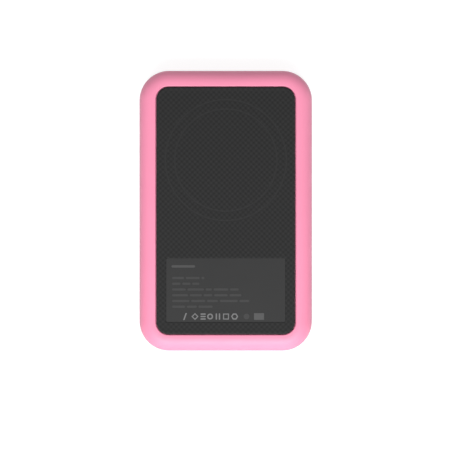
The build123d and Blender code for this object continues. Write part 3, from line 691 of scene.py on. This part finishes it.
BOARD_LEADS = (
    "battery_lead_black",
    "battery_lead_red",
    "thermistor_lead",
    "coil_lead_inner",
    "coil_lead_outer",
)
FOOT_SLICE = 0.05 * MM
LEAD_LAND_R = 1.0
LEAD_LAND_SIDES = 20
TRACE_W = 0.28
TRACE_T = 0.018
TRACE_PITCH = 0.62
PIN_LAND_L = 0.7
PIN_LAND_CUT = 0.04

# Tracks end PIN_CLEAR from a chip. Those between the two chips run straight and then jog by one pitch. Those
# below the wireless chip run down, each a step less than the one before, and turn off to the right.
PIN_CLEAR = 0.45
JOG_COUNT = 3
JOG_RUN = 1.6
DROP_COUNT = 4
DROP_STEP = 0.5
DROP_BEND = 0.4
DROP_END = 3.4

# The coil's two tracks: the outer lead's goes straight to the wireless chip, and the inner lead's ends beside
# the chip's +Y side.
OUTER_TRACK_W = 0.6
INNER_TRACK_W = 0.3
INNER_TRACK_START = 0.6
INNER_TRACK_BEND = 1.1
INNER_TRACK_END = 1.2
INNER_TRACK_ABOVE = 0.35


def lead_foot(node):
    """Where a lead meets the board, in millimetres.

    A battery lead meets it where it is lowest, and the others in the upright leg at their -Y end.
    """
    middle, half, _, _ = middle_and_half(node)
    if node.startswith("battery"):
        mesh, place = frame["nodes"][node].data, frame["nodes"][node].matrix_world
        spots = [place @ v.co for v in mesh.vertices]
        ground = min(spot.z for spot in spots) + FOOT_SLICE
        foot_y = float(np.mean([spot.y for spot in spots if spot.z < ground])) / MM
    else:
        foot_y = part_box(node)[0].y / MM + half[0]
    return middle[0], foot_y


def track(points, width):
    """The outline of a track of even width along a bent line, with mitred corners."""
    line = [np.array(point, dtype=float) for point in points]
    runs = [(b - a) / np.linalg.norm(b - a) for a, b in zip(line, line[1:])]
    sides = [np.array((-run[1], run[0])) for run in runs]
    joints = [sides[0]]
    for before, after in zip(sides, sides[1:]):
        joints.append((before + after) / (1 + before @ after))
    joints.append(sides[-1])
    left = [tuple(point + joint * width / 2) for point, joint in zip(line, joints)]
    right = [tuple(point - joint * width / 2) for point, joint in zip(line, joints)]
    return right + left[::-1]


def chip_lands(chip):
    """A row of solder lands along each side of a square chip."""
    middle, half, _, _ = middle_and_half(chip)
    count = int(half[0] * 2 / TRACE_PITCH) - 1
    lands = []
    for i in range(count):
        offset = (i - (count - 1) / 2) * TRACE_PITCH
        x, y = middle[0] + offset, middle[1] + offset
        for side in (-1, 1):
            edge_x, edge_y = middle[0] + side * half[0], middle[1] + side * half[1]
            lands.append(cut_bar(x - TRACE_W / 2, x + TRACE_W / 2, edge_y, PIN_LAND_L, PIN_LAND_CUT))
            lands.append(cut_bar(edge_x - PIN_LAND_L / 2, edge_x + PIN_LAND_L / 2, y, TRACE_W, PIN_LAND_CUT))
    return lands


def build_board_lands():
    """Solder lands round the leads and under the chips' pins."""
    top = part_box("main_board")[1].z / MM
    lands = [regular(lead_foot(node), LEAD_LAND_R, LEAD_LAND_SIDES) for node in BOARD_LEADS]
    lands += chip_lands("charge_controller") + chip_lands("wireless_controller")
    flat_bars("board_lands", lands, top, top + TRACE_T * 2, finishes["nickel_strip"])


def build_board_tracks():
    """Tracks under the green mask, from chip to chip and from the coil's leads."""
    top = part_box("main_board")[1].z / MM
    charge, charge_half, _, _ = middle_and_half("charge_controller")
    wireless, wireless_half, _, _ = middle_and_half("wireless_controller")
    charge_right = charge[0] + charge_half[0]
    wireless_left = wireless[0] - wireless_half[0]
    tracks = []
    for row in range(JOG_COUNT):
        x, y = charge_right + PIN_CLEAR, charge[1] + row * TRACE_PITCH
        bend_x = x + JOG_RUN
        jogged = [(bend_x + TRACE_PITCH, y + TRACE_PITCH), (wireless_left - PIN_CLEAR, y + TRACE_PITCH)]
        tracks.append(track([(x, y), (bend_x, y), *jogged], TRACE_W))
    for column in range(DROP_COUNT):
        x = wireless[0] + (column - 1) * TRACE_PITCH
        y = wireless[1] - wireless_half[1] - PIN_CLEAR
        down = y - DROP_BEND - DROP_STEP * (DROP_COUNT - 1 - column)
        turned = [(x + DROP_BEND, down - DROP_BEND), (wireless[0] + DROP_END, down - DROP_BEND)]
        tracks.append(track([(x, y), (x, down), *turned], TRACE_W))

    outer_x, outer_y = lead_foot("coil_lead_outer")
    outer = [(outer_x + LEAD_LAND_R, outer_y), (wireless_left - PIN_CLEAR, outer_y)]
    tracks.append(track(outer, OUTER_TRACK_W))
    inner_x, inner_y = lead_foot("coil_lead_inner")
    above = wireless[1] + wireless_half[1] + INNER_TRACK_ABOVE
    inner = [
        (inner_x + INNER_TRACK_START, inner_y + LEAD_LAND_R),
        (inner_x + INNER_TRACK_BEND, above),
        (wireless_left + INNER_TRACK_END, above),
    ]
    tracks.append(track(inner, INNER_TRACK_W))
    flat_bars("board_tracks", tracks, top, top + TRACE_T, finishes["mask_over_copper"])


build_pad()
build_print()
build_shapes()
build_coil()
build_capacitor_ends()
build_board_lands()
build_board_tracks()


# ------------------------------------------------------------------ stage, lights and camera
# The floor glows, so that it comes out as white as the photo's. It is hidden from diffuse rays, so that it
# throws no diffuse light on the object's edges. It lies just below the flat back, because at one height the
# two flicker. The sky is dim below the horizon, so that little light comes from there.
FLOOR_SIZE = 6.0
FLOOR_PALE = (0.34, 0.34, 0.34)
FLOOR_PALER = (0.36, 0.36, 0.36)
FLOOR_MOTTLE = 40
FLOOR_ROUGHNESS = 0.8
FLOOR_GLOW = 0.8
FLOOR_DROP = 0.05 * MM
SKY_ABOVE = 0.58
SKY_BELOW = 0.12
SKY_FADE = 0.2
floor_mesh = bpy.data.meshes.new("floor")
half_floor = FLOOR_SIZE / 2
floor_mesh.from_pydata(
    [(x * half_floor, y * half_floor, -FLOOR_DROP) for x, y in ((-1, -1), (1, -1), (1, 1), (-1, 1))],
    [],
    [(0, 1, 2, 3)],
)
floor = bpy.data.objects.new("floor", floor_mesh)
scene.collection.objects.link(floor)
floor_finish = Finish("floor")
floor_mottle = floor_finish.spread(floor_finish.noise(FLOOR_MOTTLE), 0, 1)
floor_paper = floor_finish.mixed(floor_mottle, FLOOR_PALE, FLOOR_PALER)
floor_mesh.materials.append(floor_finish.finish(
    floor_paper, FLOOR_ROUGHNESS, Emission_Color=(1, 1, 1, 1), Emission_Strength=FLOOR_GLOW))
floor.visible_diffuse = False

world = bpy.data.worlds.new("studio")
scene.world = world
world.use_nodes = True
background = world.node_tree.nodes["Background"]
background.inputs["Color"].default_value = (1.0, 1.0, 1.0, 1)
direction = world.node_tree.nodes.new("ShaderNodeTexCoord").outputs["Generated"]
height = world.node_tree.nodes.new("ShaderNodeSeparateXYZ")
sky = world.node_tree.nodes.new("ShaderNodeMapRange")
set_input(height, "Vector", direction)
set_input(sky, "Value", height.outputs["Z"])
set_input(sky, "From Min", -SKY_FADE)
set_input(sky, "From Max", 0.0)
set_input(sky, "To Min", SKY_BELOW)
set_input(sky, "To Max", SKY_ABOVE)
set_input(background, "Strength", sky.outputs["Result"])


AIM = (0, 0, 0.007)


def soft_box(name, place, size, watts, color=(1, 1, 1)):
    """A rectangular light turned towards the middle of the object, and not seen itself."""
    light = bpy.data.lights.new(name, "AREA")
    light.shape = "RECTANGLE"
    light.size, light.size_y = size
    light.energy = watts
    light.color = color
    made = bpy.data.objects.new(name, light)
    made.location = place
    made.rotation_mode = "QUATERNION"
    made.rotation_quaternion = (Vector(AIM) - Vector(place)).to_track_quat("-Z", "Y")
    made.visible_camera = False
    scene.collection.objects.link(made)


soft_box("key_box", place=(0, -0.50, 0.60), size=(0.6, 0.45), watts=6.45)
soft_box("front_card", place=(0, -0.60, 0.12), size=(0.9, 0.30), watts=1.6, color=(0.90, 0.95, 1.0))

# The camera looks straight down, set off from the middle so that the object sits where it does in the photo.
CAMERA_X = 0.0001
CAMERA_Y = -0.00572
CAMERA_HEIGHT = 0.520
PAD_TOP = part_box("contact_pad")[1].z
camera_data = bpy.data.cameras.new("camera")
camera_data.sensor_width = 36
camera_data.lens = 111.66
camera_data.clip_start = 0.01
camera = bpy.data.objects.new("camera", camera_data)
camera.location = (CAMERA_X, CAMERA_Y, PAD_TOP + CAMERA_HEIGHT)
scene.collection.objects.link(camera)
scene.camera = camera
scene.view_settings.view_transform = "Standard"
